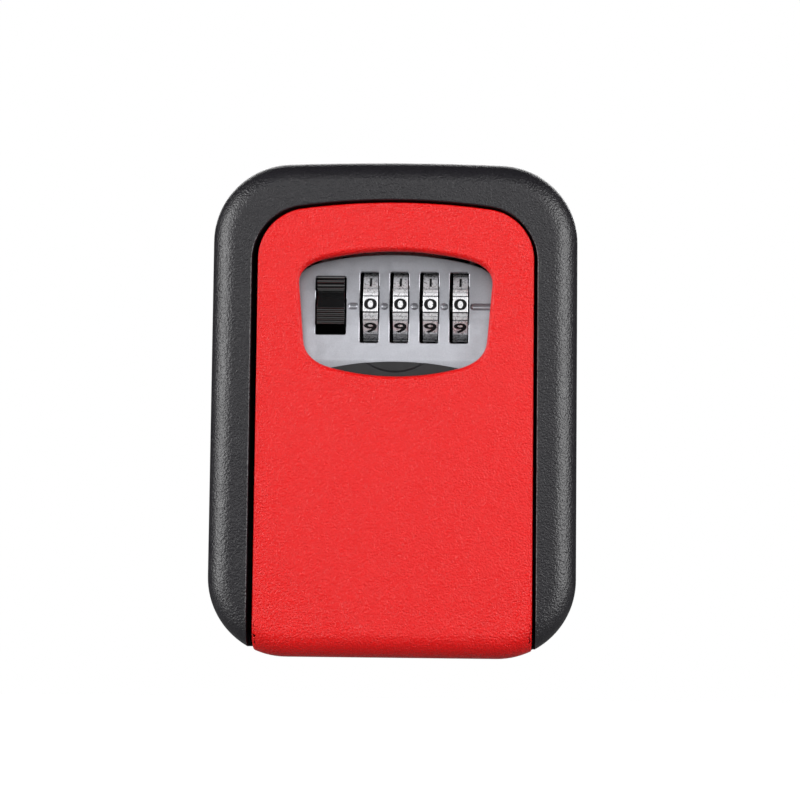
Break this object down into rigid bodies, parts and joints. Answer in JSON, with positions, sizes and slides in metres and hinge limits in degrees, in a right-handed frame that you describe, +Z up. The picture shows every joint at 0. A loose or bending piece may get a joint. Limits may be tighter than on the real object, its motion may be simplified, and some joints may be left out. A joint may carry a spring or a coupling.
{
  "type": "key lock box",
  "caption": "Wall-mounted key box with a drop-down door, combination dials, open lever and sliding weather shutter.",
  "frame": {"origin": "centre of the rear mounting face", "axes": "+X to the right seen from the front, front faces -Y, +Z up"},
  "size_m": [0.0884, 0.04, 0.12],
  "materials": {
    "black_coat": "fine-textured powder coat, satin",
    "zinc_steel": "zinc plated",
    "spring_steel": "bright drawn",
    "red_plastic": "moulded with a fine leather-like grain",
    "black_plastic": "satin moulded",
    "grey_plastic": "satin, silver-grey",
    "gloss_black": "polished",
    "dial_chrome": "bright plated, digits filled black"
  },
  "bodies": {
    "case": {"case_body": "black_coat", "strike_plate": "zinc_steel", "strike_screw_left": "zinc_steel", "strike_screw_right": "zinc_steel", "hinge_pin": "zinc_steel"},
    "door": {"front_cover": "red_plastic", "door_frame": "black_plastic", "lock_face": "grey_plastic", "dial_shaft": "zinc_steel", "shaft_clip_left": "zinc_steel", "shaft_clip_right": "zinc_steel", "detent_spring": "spring_steel", "latch_spring_left": "spring_steel", "latch_spring_right": "spring_steel", "lock_cover": "black_plastic", "lock_cover_screw_1": "zinc_steel", "lock_cover_screw_2": "zinc_steel", "lock_cover_screw_3": "zinc_steel", "lock_cover_screw_4": "zinc_steel", "front_cover_screw_1": "zinc_steel", "front_cover_screw_2": "zinc_steel", "front_cover_screw_3": "zinc_steel", "front_cover_screw_4": "zinc_steel"},
    "shutter": {"weather_shutter": "black_plastic"},
    "latch": {"latch_plate": "zinc_steel", "open_lever": "gloss_black"},
    "reset": {"reset_slide": "black_plastic"},
    "dial_1": {"dial_1": "dial_chrome", "dial_sleeve_1": "zinc_steel"},
    "dial_2": {"dial_2": "dial_chrome", "dial_sleeve_2": "zinc_steel"},
    "dial_3": {"dial_3": "dial_chrome", "dial_sleeve_3": "zinc_steel"},
    "dial_4": {"dial_4": "dial_chrome", "dial_sleeve_4": "zinc_steel"}
  },
  "joints": [
    {"name": "door_hinge", "type": "hinge", "parent": "case", "child": "door", "pos_m": [0, -0.022, -0.0555], "axis": [1, 0, 0], "range_deg": [0, 93]},
    {"name": "shutter_slide", "type": "slide", "parent": "door", "child": "shutter", "axis": [0, 0, 1], "range_m": [0, 0.027]},
    {"name": "latch_slide", "type": "slide", "parent": "door", "child": "latch", "axis": [0, 0, -1], "range_m": [0, 0.0022], "stiffness_N_per_m": 700, "springref_m": -0.004, "deforming": ["latch_spring_left", "latch_spring_right"]},
    {"name": "reset_slide", "type": "slide", "parent": "door", "child": "reset", "axis": [1, 0, 0], "range_m": [0, 0.004]},
    {"name": "dial_1_spin", "type": "hinge", "parent": "door", "child": "dial_1", "pos_m": [0, -0.0258, 0.02525], "axis": [1, 0, 0], "continuous": true},
    {"name": "dial_2_spin", "type": "hinge", "parent": "door", "child": "dial_2", "pos_m": [0, -0.0258, 0.02525], "axis": [1, 0, 0], "continuous": true},
    {"name": "dial_3_spin", "type": "hinge", "parent": "door", "child": "dial_3", "pos_m": [0, -0.0258, 0.02525], "axis": [1, 0, 0], "continuous": true},
    {"name": "dial_4_spin", "type": "hinge", "parent": "door", "child": "dial_4", "pos_m": [0, -0.0258, 0.02525], "axis": [1, 0, 0], "continuous": true}
  ]
}
